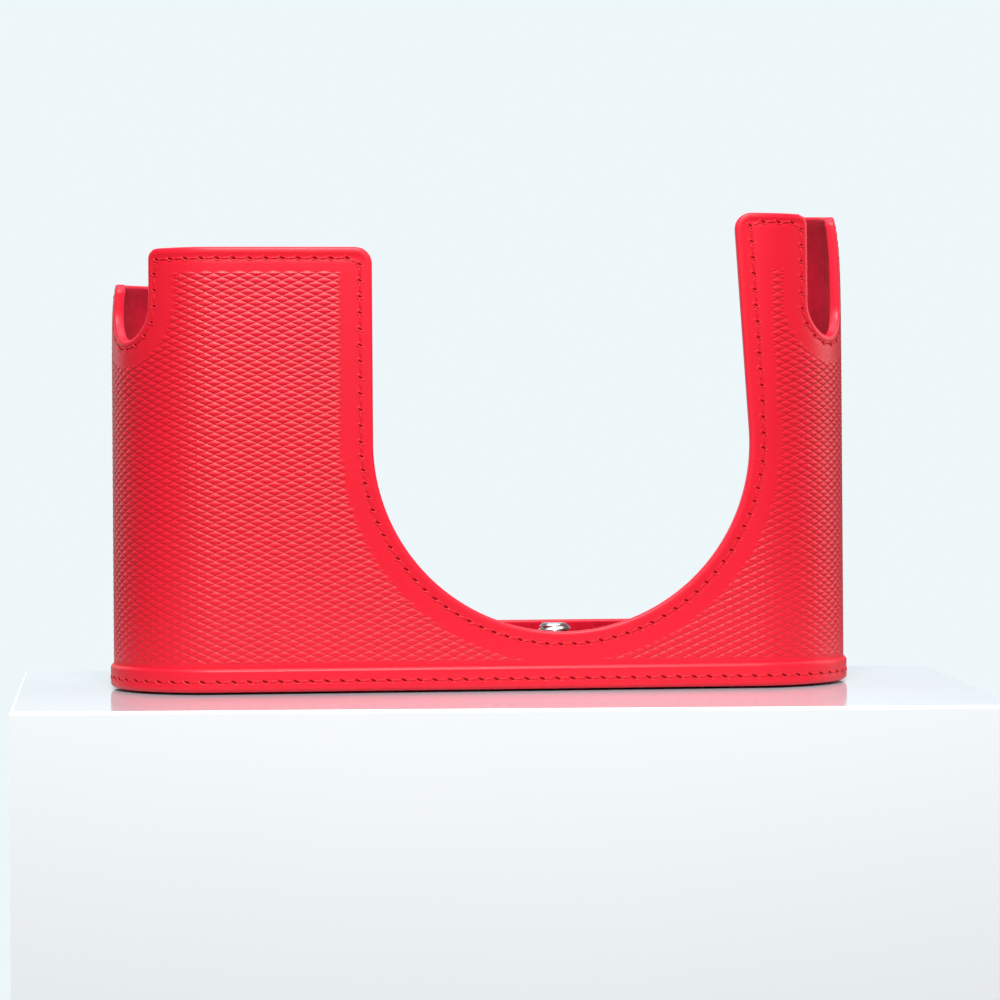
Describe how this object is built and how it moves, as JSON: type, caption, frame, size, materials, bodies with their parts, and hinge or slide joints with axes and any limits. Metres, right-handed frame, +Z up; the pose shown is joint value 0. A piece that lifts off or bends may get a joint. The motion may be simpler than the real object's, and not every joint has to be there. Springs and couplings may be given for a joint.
{
  "type": "leather camera half case",
  "caption": "Embossed leather half case that a compact camera drops into, with a round lens cut-out, open back, strap notches and a captive camera screw.",
  "frame": {"origin": "on the axis of the camera screw, at the lowest face of its head, which the case stands on", "axes": "+X along the camera to the lens side of the case, -Y is the side the lens looks out of, +Z up out of the tripod"},
  "size_m": [0.1364, 0.0406, 0.0884],
  "materials": {
    "embossed_leather": "semi-gloss red leather embossed with small diamonds",
    "plain_leather": "semi-gloss smooth red leather",
    "suede": "matt crimson suede",
    "fibre_board": "matt pressed fibre board",
    "plate_steel": "brushed",
    "rivet_steel": "satin",
    "bush_brass": "turned",
    "screw_chrome": "bright nickel",
    "ring_steel": "satin",
    "washer_plastic": "matt",
    "thread": "waxed polyester thread"
  },
  "bodies": {
    "case": {"wall_leather": "embossed_leather", "wall_lining": "suede", "left_stiffener": "fibre_board", "right_stiffener": "fibre_board", "base_leather": "plain_leather", "base_plate": "plate_steel", "base_board": "fibre_board", "base_lining": "suede", "base_rivets": "rivet_steel", "screw_bush": "bush_brass", "rim_thread": "thread", "base_thread": "thread"},
    "screw_carrier": {"retaining_ring": "ring_steel", "thrust_washer": "washer_plastic"},
    "screw": {"screw_head": "screw_chrome", "screw_stud": "screw_chrome"}
  },
  "joints": [
    {"name": "screw_float", "type": "slide", "parent": "case", "child": "screw_carrier", "axis": [0, 0, 1], "range_m": [-0.001, 0]},
    {"name": "screw_turn", "type": "hinge", "parent": "screw_carrier", "child": "screw", "pos_m": [0, 0, 0], "axis": [0, 0, 1], "continuous": true}
  ]
}
